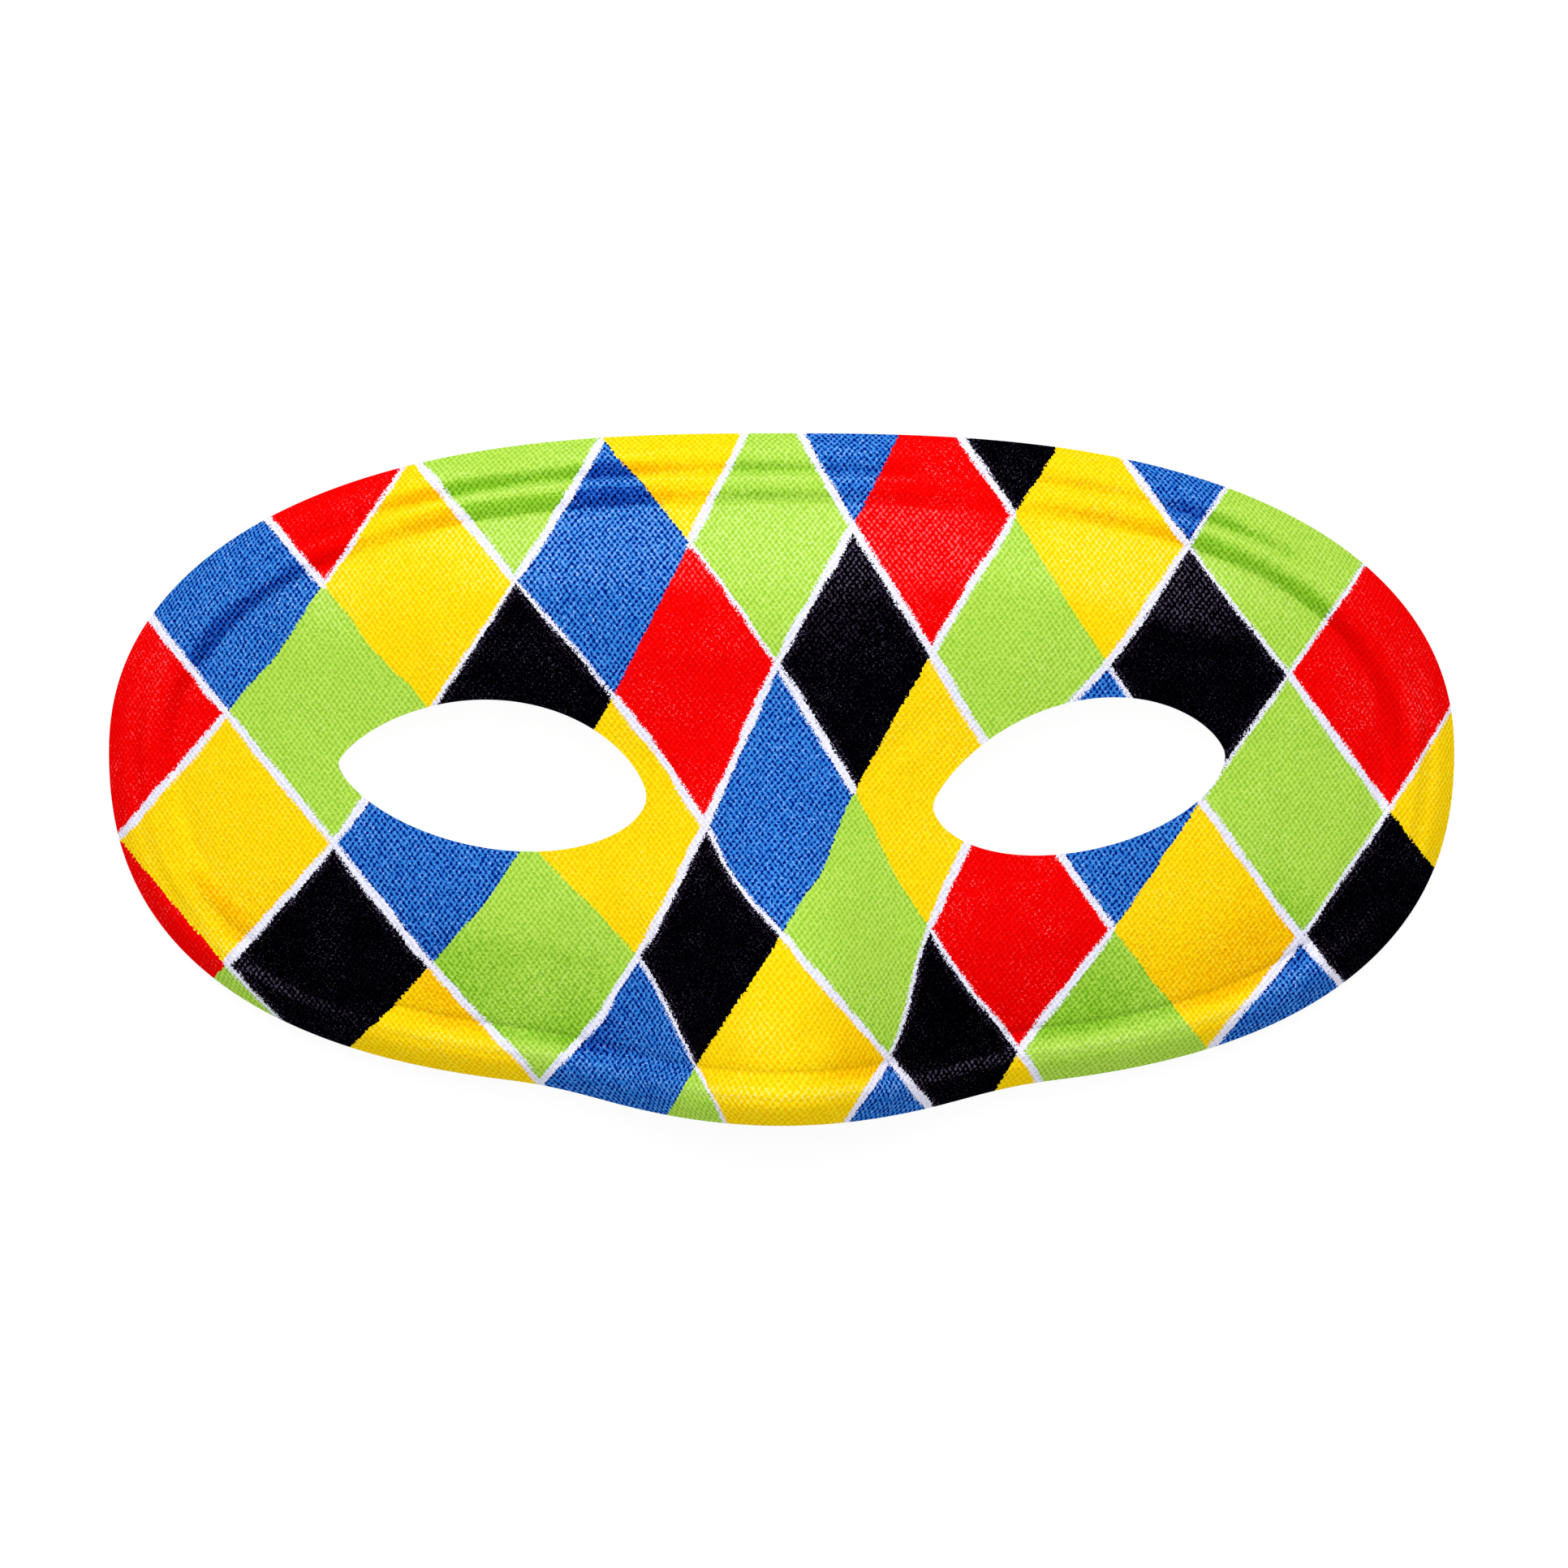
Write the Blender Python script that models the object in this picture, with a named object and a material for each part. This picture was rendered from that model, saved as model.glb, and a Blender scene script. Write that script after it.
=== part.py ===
"""Harlequin eye mask: one stiff cloth-faced shell with two eye openings, and two tape loops for an elastic.

The mask lies face up, as on a table. +X is the viewer's right, +Y runs to the brow and +Z comes out of
the face. The origin is under the middle of the outline, on the surface that the temples rest on.
"""

import math

import bmesh
import bpy
from mathutils import Matrix, Vector

# Outline, in metres, measured in the front view from the level of the temple tips.
HALF_WIDTH = 0.083
BROW_RISE = 0.0385
CHEEK_DROP = 0.0423
NOSE_DROP = 0.0465
NOSE_ARC_RADIUS = 0.080
NOSE_CORNER_BLEND = 0.0015

# How square each half of the outline is: (1 - u ** across) ** (1 / up).
BROW_SQUARENESS = {"across": 2.7, "up": 2.1}
CHEEK_SQUARENESS = {"across": 2.9, "up": 2.4}

# Relief of the face, in metres.
WALL = 0.0012
WRAP_DEPTH = 0.0200
WRAP_POWER = 2.3
BROW_LEAN = 0.0060
CHEEK_LEAN = 0.0055
BROW_RIDGE_HEIGHT = 0.0026
BROW_RIDGE_LEVEL = 0.0230
BROW_RIDGE_SPREAD = 0.0130
NOSE_HEIGHT = 0.0150
NOSE_ROOT_LEVEL = 0.0120
NOSE_ROOT_HALF_WIDTH = 0.0130
NOSE_BASE_HALF_WIDTH = 0.0250
SOCKET_DEPTH = 0.0014
SOCKET_REACH = 1.5

# The pressed rim: two low ribs that run parallel to the edge, and an edge that turns back.
RIM_WIDTH = 0.0090
RIM_RISE = 0.0008
RIM_PROFILE = (
    # inset as a share of RIM_WIDTH, rise as a share of RIM_RISE
    {"inset": 0.00, "rise": -1.10},
    {"inset": 0.10, "rise": -0.10},
    {"inset": 0.20, "rise": 0.70},
    {"inset": 0.33, "rise": 1.00},
    {"inset": 0.54, "rise": 0.25},
    {"inset": 0.71, "rise": 1.00},
    {"inset": 0.86, "rise": 0.35},
    {"inset": 1.00, "rise": 0.00},
)

# Eye openings. Corners are shares of HALF_WIDTH (x) and BROW_RISE (y, from the middle of the outline),
# lid heights are shares of BROW_RISE, and a lid leaves its corners as t ** inner * (1 - t) ** outer.
EYES = {
    "left": {
        "side": -1,
        "inner_corner": (0.198, -0.065),
        "outer_corner": (0.657, 0.052),
        "upper_lid": {"height": 0.260, "inner": 0.64, "outer": 0.72},
        "lower_lid": {"height": 0.215, "inner": 0.56, "outer": 0.66},
    },
    "right": {
        "side": 1,
        "inner_corner": (0.222, -0.091),
        "outer_corner": (0.657, 0.083),
        "upper_lid": {"height": 0.250, "inner": 0.76, "outer": 0.62},
        "lower_lid": {"height": 0.225, "inner": 0.52, "outer": 0.56},
    },
}

# Where the temples rest, the cloth is pressed flat by this much.
REST_FLAT = 0.0005

# Tape loops behind the temples that an elastic ties to.
LOOP_WIDTH = 0.0060
LOOP_TAPE = 0.0010
LOOP_FOOT = 0.0042
LOOP_SPAN = 0.0080
LOOP_CLEARANCE = 0.0022
LOOP_RISER = 0.0012
LOOP_FROM_EDGE = 0.0160
SEAT_GAP = 0.0003

# Mesh density: faces along half of the rim, along the centre line, and from an eye out to the rim.
HALF_RIM_FACES = 52
CENTRE_FACES = 16
EYE_RINGS = 7
OUTLINE_SAMPLES = 400

TEMPLE_LEVEL = (NOSE_DROP - BROW_RISE) / 2


def clear_scene():
    for item in list(bpy.data.objects):
        bpy.data.objects.remove(item)


def material(name, colour, roughness):
    made = bpy.data.materials.new(name)
    made.use_nodes = True
    shader = made.node_tree.nodes["Principled BSDF"]
    shader.inputs["Base Color"].default_value = (*colour, 1.0)
    shader.inputs["Roughness"].default_value = roughness
    return made


def smooth_share(value):
    """0 below 0, 1 above 1, and an even S-curve between."""
    share = min(max(value, 0.0), 1.0)
    return share * share * (3.0 - 2.0 * share)


def smooth_min(first, second, blend):
    overlap = max(blend - abs(first - second), 0.0) / blend
    return min(first, second) - overlap * overlap * blend / 4.0


# Outline of the mask in the front view.


def lower_edge(x):
    """Height of the lower edge at x: the cheek's curve, with the nose's arc hanging below it."""
    share = min(abs(x) / HALF_WIDTH, 1.0)
    across, up = CHEEK_SQUARENESS["across"], CHEEK_SQUARENESS["up"]
    cheek = TEMPLE_LEVEL - CHEEK_DROP * (1.0 - share**across) ** (1.0 / up)
    nose_centre = TEMPLE_LEVEL - NOSE_DROP + NOSE_ARC_RADIUS
    reach = max(NOSE_ARC_RADIUS**2 - x * x, 0.0)
    nose = nose_centre - math.sqrt(reach)
    return smooth_min(cheek, nose, NOSE_CORNER_BLEND)


def outline_point(turn):
    """A point of the right half, from the nose (turn 0) round the temple (0.5) to the brow (1)."""
    angle = math.pi * (turn - 0.5)
    if angle < 0.0:
        x = HALF_WIDTH * abs(math.cos(angle)) ** (2.0 / CHEEK_SQUARENESS["across"])
        return Vector((x, lower_edge(x)))
    x = HALF_WIDTH * abs(math.cos(angle)) ** (2.0 / BROW_SQUARENESS["across"])
    rise = BROW_RISE * abs(math.sin(angle)) ** (2.0 / BROW_SQUARENESS["up"])
    return Vector((x, TEMPLE_LEVEL + rise))


def evenly_spaced(points, count):
    """count + 1 points at equal steps along the line through the given points."""
    lengths = [0.0]
    for start, end in zip(points, points[1:]):
        lengths.append(lengths[-1] + (end - start).length)
    spaced = []
    index = 0
    for step in range(count + 1):
        wanted = lengths[-1] * step / count
        while index < len(points) - 2 and lengths[index + 1] < wanted:
            index += 1
        share = (wanted - lengths[index]) / (lengths[index + 1] - lengths[index])
        spaced.append(points[index].lerp(points[index + 1], share))
    return spaced


def closed_outline():
    """The whole outline from the nose, up the right side and down the left, each point once."""
    turns = [index / OUTLINE_SAMPLES for index in range(OUTLINE_SAMPLES + 1)]
    right = evenly_spaced([outline_point(turn) for turn in turns], HALF_RIM_FACES)
    right[0].x = right[-1].x = 0.0
    left = [Vector((-point.x, point.y)) for point in reversed(right[1:-1])]
    return right + left


def inward_normals(points):
    normals = []
    for index, _ in enumerate(points):
        along = points[(index + 1) % len(points)] - points[index - 1]
        normals.append(Vector((-along.y, along.x)).normalized())
    return normals


# Eye openings in the front view.


def eye_frame(eye):
    """Middle of the opening, unit vector to its outer corner, unit vector up, and half its length."""
    inner, outer = (
        Vector((eye["side"] * corner[0] * HALF_WIDTH, corner[1] * BROW_RISE))
        for corner in (eye["inner_corner"], eye["outer_corner"])
    )
    along = (outer - inner).normalized()
    up = Vector((-along.y, along.x)) * eye["side"]
    return (inner + outer) / 2, along, up, (outer - inner).length / 2


def lid_shape(lid, share):
    """Height of a lid, 1 at its highest, at a share of the way from inner to outer corner."""
    inner, outer = lid["inner"], lid["outer"]
    peak = inner / (inner + outer)
    highest = peak**inner * (1.0 - peak) ** outer
    return share**inner * (1.0 - share) ** outer / highest


def eye_point(eye, towards):
    """The point of an opening's edge that faces a point of the front view."""
    middle, along, up, half_length = eye_frame(eye)
    lids = (eye["upper_lid"], eye["lower_lid"])
    half_height = BROW_RISE * sum(lid["height"] for lid in lids) / 2
    offset = towards - middle
    angle = math.atan2(offset.dot(up) * half_length / half_height, offset.dot(along))
    share = (1.0 + math.cos(angle)) / 2
    lid, sign = (lids[0], 1.0) if angle > 0.0 else (lids[1], -1.0)
    height = sign * lid["height"] * BROW_RISE * lid_shape(lid, share)
    return middle + along * half_length * math.cos(angle) + up * height


# Relief of the face.


def nose_relief(x, y):
    nose_bottom = TEMPLE_LEVEL - NOSE_DROP
    share = smooth_share((NOSE_ROOT_LEVEL - y) / (NOSE_ROOT_LEVEL - nose_bottom))
    widening = NOSE_BASE_HALF_WIDTH - NOSE_ROOT_HALF_WIDTH
    half_width = NOSE_ROOT_HALF_WIDTH + widening * share
    across = min(abs(x) / half_width, 1.0)
    return NOSE_HEIGHT * share * (0.5 + 0.5 * math.cos(math.pi * across))


def socket_relief(x, y):
    """A shallow dish round each eye opening."""
    eye = EYES["right"] if x > 0.0 else EYES["left"]
    middle, along, up, half_length = eye_frame(eye)
    offset = Vector((x, y)) - middle
    reach = SOCKET_REACH * half_length
    away = (offset.dot(along) / reach) ** 2 + (2.0 * offset.dot(up) / reach) ** 2
    return -SOCKET_DEPTH * math.exp(-2.0 * away)


def face_height(x, y):
    """Height of the front face, without the rim, above the level of the temple tips."""
    wrap = WRAP_DEPTH * (1.0 - (abs(x) / HALF_WIDTH) ** WRAP_POWER)
    above = y - TEMPLE_LEVEL
    lean = BROW_LEAN * (above / BROW_RISE) ** 2 if above > 0.0 else CHEEK_LEAN * (above / CHEEK_DROP) ** 2
    off_ridge = (y - BROW_RIDGE_LEVEL) / BROW_RIDGE_SPREAD
    ridge_share = max(1.0 - (x / HALF_WIDTH) ** 2, 0.0)
    ridge = BROW_RIDGE_HEIGHT * ridge_share * math.exp(-off_ridge * off_ridge)
    return wrap - lean + ridge + nose_relief(x, y) + socket_relief(x, y)


# The shell.


def add_rim(bm):
    """Rings of faces from the edge to the inside of the rim. Returns the innermost ring's points."""
    outline = closed_outline()
    normals = inward_normals(outline)
    rings = []
    for row in RIM_PROFILE:
        ring = []
        for point, normal in zip(outline, normals):
            flat = point + normal * row["inset"] * RIM_WIDTH
            height = face_height(flat.x, flat.y) + row["rise"] * RIM_RISE
            ring.append(bm.verts.new((flat.x, flat.y, height)))
        rings.append(ring)
    for outer, inner in zip(rings, rings[1:]):
        join_rings(bm, outer, inner)
    return rings[-1]


def join_rings(bm, outer, inner):
    """A band of faces between two closed rings that both run anticlockwise."""
    for index, _ in enumerate(outer):
        bm.faces.new((outer[index - 1], outer[index], inner[index], inner[index - 1]))


def add_centre_line(bm, top, bottom):
    """Points down the centre line, between the rim's inner ring at the brow and at the nose."""
    points = []
    for step in range(1, CENTRE_FACES):
        y = top.co.y + (bottom.co.y - top.co.y) * step / CENTRE_FACES
        points.append(bm.verts.new((0.0, y, face_height(0.0, y))))
    return points


def add_half_face(bm, boundary, eye):
    """Rings of faces from a half's boundary, given anticlockwise, in to its eye opening."""
    outer = boundary
    for ring_number in range(1, EYE_RINGS + 1):
        share = ring_number / EYE_RINGS
        ring = []
        for vertex in boundary:
            start = Vector(vertex.co.xy)
            flat = start.lerp(eye_point(eye, start), share)
            ring.append(bm.verts.new((flat.x, flat.y, face_height(flat.x, flat.y))))
        join_rings(bm, outer, ring)
        outer = ring


def flatten_rest(bm):
    """Lowers the shell until the temples pass through z = 0 by REST_FLAT, and cuts them off there."""
    lowest = min(vertex.co.z for vertex in bm.verts)
    bmesh.ops.translate(bm, verts=bm.verts, vec=(0.0, 0.0, -lowest - REST_FLAT))
    everything = [*bm.verts, *bm.edges, *bm.faces]
    bmesh.ops.bisect_plane(
        bm, geom=everything, dist=1e-7, plane_co=(0, 0, 0), plane_no=(0, 0, 1), clear_inner=True
    )
    bmesh.ops.holes_fill(bm, edges=[edge for edge in bm.edges if edge.is_boundary], sides=0)
    bmesh.ops.recalc_face_normals(bm, faces=bm.faces)
    return -lowest - REST_FLAT


def make_shell():
    """Builds the shell and returns how far it was raised to stand on z = 0."""
    bm = bmesh.new()
    rim = add_rim(bm)
    bottom, top = rim[0], rim[HALF_RIM_FACES]
    centre = add_centre_line(bm, top, bottom)
    add_half_face(bm, rim[: HALF_RIM_FACES + 1] + centre, EYES["right"])
    add_half_face(bm, rim[HALF_RIM_FACES:] + [bottom] + centre[::-1], EYES["left"])
    bmesh.ops.recalc_face_normals(bm, faces=bm.faces)
    bm.normal_update()
    bmesh.ops.solidify(bm, geom=bm.faces[:], thickness=WALL)
    bmesh.ops.recalc_face_normals(bm, faces=bm.faces)
    raised = flatten_rest(bm)
    mesh = bpy.data.meshes.new("mask_shell")
    bm.to_mesh(mesh)
    bm.free()
    mesh.materials.append(material("printed_cloth", (0.85, 0.62, 0.05), 0.8))
    shell = bpy.data.objects.new("mask_shell", mesh)
    bpy.context.collection.objects.link(shell)
    return raised


# Elastic loops.


def loop_outline():
    """Side view of the tape: (along the tape, away from the shell), feet first on the shell's side."""
    bend = LOOP_SPAN / 2
    foot = bend + LOOP_RISER
    end = foot + LOOP_FOOT
    top = LOOP_CLEARANCE + LOOP_TAPE
    shell_side = [(-end, 0.0), (-foot, 0.0), (-bend, LOOP_CLEARANCE)]
    shell_side += [(bend, LOOP_CLEARANCE), (foot, 0.0), (end, 0.0)]
    outside = [(end, LOOP_TAPE), (foot + LOOP_TAPE / 2, LOOP_TAPE), (bend + LOOP_TAPE / 2, top)]
    outside += [(-bend - LOOP_TAPE / 2, top), (-foot - LOOP_TAPE / 2, LOOP_TAPE), (-end, LOOP_TAPE)]
    return shell_side + outside


def back_frame(x, y, raised):
    """Turns and moves a piece onto the shell's back at (x, y), its Z pointing away from the shell."""
    step = WALL / 2
    slope_x = (face_height(x + step, y) - face_height(x - step, y)) / (2 * step)
    slope_y = (face_height(x, y + step) - face_height(x, y - step)) / (2 * step)
    outward = Vector((-slope_x, -slope_y, 1.0)).normalized()
    away = -outward
    along = Vector((0.0, 1.0, 0.0))
    along = (along - away * along.dot(away)).normalized()
    across = along.cross(away)
    seat = Vector((x, y, face_height(x, y) + raised)) + away * (WALL + SEAT_GAP)
    turn = Matrix((across, along, away)).transposed().to_4x4()
    return Matrix.Translation(seat) @ turn


def make_loop(name, side, raised, tape):
    """A short bridge of tape whose feet lie flat on the back of a temple."""
    bm = bmesh.new()
    profile = [bm.verts.new((-LOOP_WIDTH / 2, y, z)) for y, z in loop_outline()]
    face = bm.faces.new(profile)
    pulled = bmesh.ops.extrude_face_region(bm, geom=[face])
    moved = [item for item in pulled["geom"] if isinstance(item, bmesh.types.BMVert)]
    bmesh.ops.translate(bm, verts=moved, vec=(LOOP_WIDTH, 0.0, 0.0))
    bmesh.ops.recalc_face_normals(bm, faces=bm.faces)
    mesh = bpy.data.meshes.new(name)
    bm.to_mesh(mesh)
    bm.free()
    mesh.materials.append(tape)
    loop = bpy.data.objects.new(name, mesh)
    loop.matrix_world = back_frame(side * (HALF_WIDTH - LOOP_FROM_EDGE), TEMPLE_LEVEL, raised)
    bpy.context.collection.objects.link(loop)


def main():
    clear_scene()
    raised = make_shell()
    tape = material("loop_tape", (0.80, 0.79, 0.76), 0.9)
    make_loop("elastic_loop_left", -1, raised, tape)
    make_loop("elastic_loop_right", 1, raised, tape)


if __name__ == "__main__":
    main()
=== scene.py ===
"""Looks of the harlequin eye mask: printed cloth over a formed shell, tape loops, floor, light and camera."""

import math

import bmesh
import bpy
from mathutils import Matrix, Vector, noise
from mathutils.kdtree import KDTree


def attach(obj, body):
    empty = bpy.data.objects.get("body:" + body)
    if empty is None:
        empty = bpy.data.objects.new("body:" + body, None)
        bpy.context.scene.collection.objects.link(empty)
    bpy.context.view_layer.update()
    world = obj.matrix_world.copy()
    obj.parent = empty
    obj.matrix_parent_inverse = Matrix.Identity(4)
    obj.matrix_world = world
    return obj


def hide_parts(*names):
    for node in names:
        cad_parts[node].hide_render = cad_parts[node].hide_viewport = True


bl_info = {
    "name": "Harlequin eye mask",
    "version": (1, 0, 0),
    "blender": (4, 5, 0),
    "location": "3D View > Sidebar > Mask",
    "description": "Dresses the packed eye mask in its printed cloth and sets its floor, light and camera",
    "category": "Object",
}

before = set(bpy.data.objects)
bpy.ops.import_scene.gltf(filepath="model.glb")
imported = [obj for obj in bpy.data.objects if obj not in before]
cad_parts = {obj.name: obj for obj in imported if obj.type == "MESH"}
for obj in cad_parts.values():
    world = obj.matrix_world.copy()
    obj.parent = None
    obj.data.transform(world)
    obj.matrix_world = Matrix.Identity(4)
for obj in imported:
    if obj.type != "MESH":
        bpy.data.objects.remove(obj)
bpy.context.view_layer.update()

# The camera looks straight down on the mask, as the photograph looks straight at it.
VIEW_WIDTH = 0.1932
VIEW_DISTANCE = 4.0
VIEW_MIDDLE = (0.0003, -0.0006)
VIEW_LEVEL = 0.003
SENSOR = 36.0

# The printed lattice. Each row is one line that falls to the right, with the places in millimetres where it
# meets the lines that rise to the right, counted from the left. They were first read by eye from the
# photograph, and about twenty were then moved by what a program measured between a render and the photograph.
FALLING_LINES = {
    0: {1: (-81.7, -7.3), 2: (-68.4, -22.8), 3: (-56.0, -36.0)},
    1: {
        0: (-80.4, 23.2),
        1: (-68.4, 8.1),
        2: (-55.3, -7.9),
        3: (-43.3, -22.9),
        4: (-29.8, -37.5),
        5: (-20.2, -52.3),
    },
    2: {
        0: (-69.3, 39.4),
        1: (-56.5, 23.9),
        2: (-43.3, 8.5),
        3: (-31.3, -7.5),
        4: (-17.8, -21.9),
        5: (-10.6, -35.4),
        6: (-0.2, -53.3),
    },
    3: {
        1: (-45.5, 40.0),
        2: (-32.8, 24.5),
        3: (-20.8, 10.2),
        4: (-9.5, -5.7),
        5: (0.0, -19.1),
        6: (13.1, -34.3),
        7: (22.4, -46.6),
    },
    4: {
        2: (-22.1, 42.0),
        3: (-11.3, 29.3),
        4: (-0.6, 14.1),
        5: (9.0, -1.6),
        6: (18.2, -18.4),
        7: (29.3, -33.5),
        8: (39.2, -48.8),
    },
    5: {
        3: (-1.4, 48.7),
        4: (8.8, 31.2),
        5: (18.5, 15.5),
        6: (27.7, 0.3),
        7: (40.9, -18.5),
        8: (52.7, -33.4),
    },
    6: {
        4: (17.6, 49.0),
        5: (28.7, 32.4),
        6: (40.1, 14.2),
        7: (51.7, -2.5),
        8: (64.0, -19.4),
        9: (75.7, -33.0),
    },
    7: {5: (37.5, 46.4), 6: (50.1, 28.8), 7: (62.5, 12.8), 8: (74.8, -3.8), 9: (83.7, -15.0)},
    8: {6: (60.6, 44.6), 7: (72.2, 27.0), 8: (82.7, 9.0)},
}

# How far the lattice is carried on: falling lines (columns) and rising lines (strips).
FIRST_COLUMN = -2
LAST_COLUMN = 10
FIRST_STRIP = -1
LAST_STRIP = 10

# The search for a point's place in the lattice: its start, its most tries, its longest step and the step
# that is close enough.
LATTICE_MIDDLE = (4.0, 4.0)
MOST_TRIES = 30
LONGEST_STEP = 0.4
CLOSE_ENOUGH = 1e-5

# Places where the printed lines bow off the smooth lattice: x and y, then how far they bow, in millimetres.
# They come from the same program's measures, and the first two agree with what was read by eye.
BOWS = (
    (-4.5, -12.1, -0.7, -0.5),
    (4.8, -10.2, 0.7, -0.4),
    (-15.0, 2.4, 0.4, 0.3),
    (13.9, -10.0, -0.4, -0.2),
    (23.8, -25.5, -0.3, -0.2),
    (-62.6, 16.2, 0.4, -0.3),
    (-37.3, -15.0, 0.3, -0.3),
    (-23.8, -29.7, 0.5, -0.3),
    (-49.9, 16.6, -0.4, -0.3),
)
BOW_REACH = 4.5

# The column of each row's first letter below, and of each rising line's first digit.
FIRST_INKED = -1

# Inks of the lozenges: a row for each strip between two rising lines, a letter for each column.
LOZENGES = (
    "RRBRKBRKBR",
    "RYGYGYGYGY",
    "GKBKBYKRBK",
    "GYGYRGBYGY",
    "BRBKBKRKBR",
    "YYGYGYGYBG",
    "KRKBKRBKGR",
    "GYGGYGYGRR",
    "KRBKRKBKYB",
)

# Undyed lines between the lozenges: 0 where two inks meet, 1 a thin line, 2 a wide one. A row for each
# falling line, a digit for each strip; then a row for each rising line, a digit for each column.
FALLING_GAPS = (
    "0010000000",
    "2222220000",
    "2010110000",
    "2212122000",
    "0001201200",
    "0002222000",
    "0000201220",
    "0000021200",
    "0000000000",
    "0000000000",
)
RISING_GAPS = (
    "0000000000",
    "0201000000",
    "0221200000",
    "0000020000",
    "0022220000",
    "0000002000",
    "0002122210",
    "0000020110",
    "0000002110",
    "0000000000",
)

# Half the width and height of the region that holds both eye openings, and how far from their edges the
# wall leans back to its own direction.
EYE_REGION = (0.060, 0.014)
EYE_EDGE_REACH = 0.003

# Pressed ridges along the outer edge: the distance from it in metres, then the height as a share of the
# emboss, above the brow, at the sides and below the cheeks.
RIDGES = (
    (0.0000, 0.0, 0.0, 0.0),
    (0.0014, 0.0, -0.1, 0.0),
    (0.0030, 0.0, -0.4, 0.1),
    (0.0036, 0.3, 0.1, 0.6),
    (0.0047, -0.7, 1.1, 0.3),
    (0.0055, 0.4, 0.7, -0.8),
    (0.0063, 0.2, 0.3, -1.6),
    (0.0072, 0.45, 0.4, -1.0),
    (0.0078, 0.2, 0.05, -0.5),
    (0.0086, -0.2, -0.5, -0.18),
    (0.0094, -0.1, -0.3, 0.0),
    (0.0115, 0.0, 0.0, 0.0),
)

# Painted shade and painted light along the ridges, in the same three places: deeper (painted shade) below 0,
# paler (painted light) above it.
RIM_PAINTED_SHADING = (
    (0.0000, 0.0, 0.0, 0.0),
    (0.0014, 0.2, 0.2, -0.2),
    (0.0024, 0.5, 0.4, -0.4),
    (0.0034, -0.7, 0.4, 1.0),
    (0.0043, -1.0, 0.4, 0.8),
    (0.0050, -0.3, 0.5, -0.5),
    (0.0056, 0.9, 0.4, -0.8),
    (0.0064, -0.6, -0.4, -0.8),
    (0.0075, -1.1, -1.3, -0.75),
    (0.0084, -0.7, -0.7, -0.7),
    (0.0091, 1.1, 0.3, -0.65),
    (0.0150, 0.9, 0.1, -0.4),
    (0.0210, 0.0, 0.0, 0.0),
)

# Painted highlights, where the print is painted paler as if it caught the light: x, y, reach and share.
PAINTED_HIGHLIGHTS = (
    (-0.001, -0.032, 0.008, 1.0),
    (0.002, -0.012, 0.009, 0.3),
    (0.004, 0.026, 0.014, 0.7),
)

# Wrinkles of the cloth: x, y, half length, slope in radians and height.
WRINKLES = (
    (0.0135, 0.0065, 0.0045, 0.75, 0.00016),
    (0.0150, 0.0045, 0.0050, 0.80, -0.00014),
    (0.0165, 0.0030, 0.0045, 0.70, 0.00014),
    (-0.0140, 0.0040, 0.0040, -0.85, 0.00012),
    (-0.0125, 0.0060, 0.0035, -0.80, -0.00010),
)
WRINKLE_WIDTH = 0.0009

# Sizes in metres of the places where the ridges and the cloth's swell vary, and the margin where glue holds
# the cloth flat.
PATCH_SIZE = 0.014
SWELL_SIZE = 0.011
HELD_MARGIN = 0.006

# The stitches and the print: sizes of their irregularities and how far rows of stitches waver, in metres.
WAVER_SIZE = 0.004
SIDE_WAVER = 0.0007
ROW_WAVER = 0.0005
THREAD_SIZE = 0.00036
SPECK_SIZE = 0.00018
DRIFT_SIZE = 0.0045
UNEVEN_SIZE = 0.006
STITCH_DEPTH = 0.00009

# How steeply the rows of stitches climb, and the half width, in lattice steps, below which no line is drawn.
ROW_SLANT = 0.06
NO_LINE = 0.0001

# Colours mixed in: painted sheen on black where the painted light is strong, painted violet sheen on black
# beside the undyed lines, painted glints on black, painted shade in the holes of undyed cloth, the matted
# backing, the darker places between the tape's threads and the floor's grain.
BLACK_PAINTED_SHEEN = (0.105, 0.080, 0.140)
BLACK_SHEEN_BESIDE_LINES = (0.075, 0.050, 0.110)
BLACK_PAINTED_GLINTS = (0.26, 0.22, 0.38)
UNDYED_HOLES_SHADE = (0.58, 0.58, 0.80)
MATTED_BACKING = (0.52, 0.51, 0.48)
TAPE_HOLES = (0.42, 0.41, 0.38)
FLOOR_GRAIN = (0.1, 0.1, 0.1)

# Turns between faces: the most inside the front sheet, then the least that shows as a crease.
FRONT_TURN = math.radians(55)
SHELL_CREASE = math.radians(45)
TAPE_CREASE = math.radians(40)

# Lights: name, place and width in metres, and the setting that holds the power.
LIGHTS = (
    ("key_light", (-0.15, 0.95, 0.72), 0.45, "key_power"),
    ("front_light", (0.0, 0.25, 1.30), 0.50, "front_power"),
    ("left_light", (-0.95, 0.10, 0.60), 0.60, "side_power"),
    ("right_light", (0.95, 0.10, 0.60), 0.60, "side_power"),
    ("low_light", (0.10, -0.90, 0.90), 0.60, "low_power"),
)


def length(name, default, description):
    return bpy.props.FloatProperty(
        name=name, description=description, default=default, min=0.0, unit="LENGTH", precision=5
    )


def colour(name, default, description):
    return bpy.props.FloatVectorProperty(
        name=name, description=description, default=default, min=0.0, max=1.0, size=3, subtype="COLOR"
    )


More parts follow.
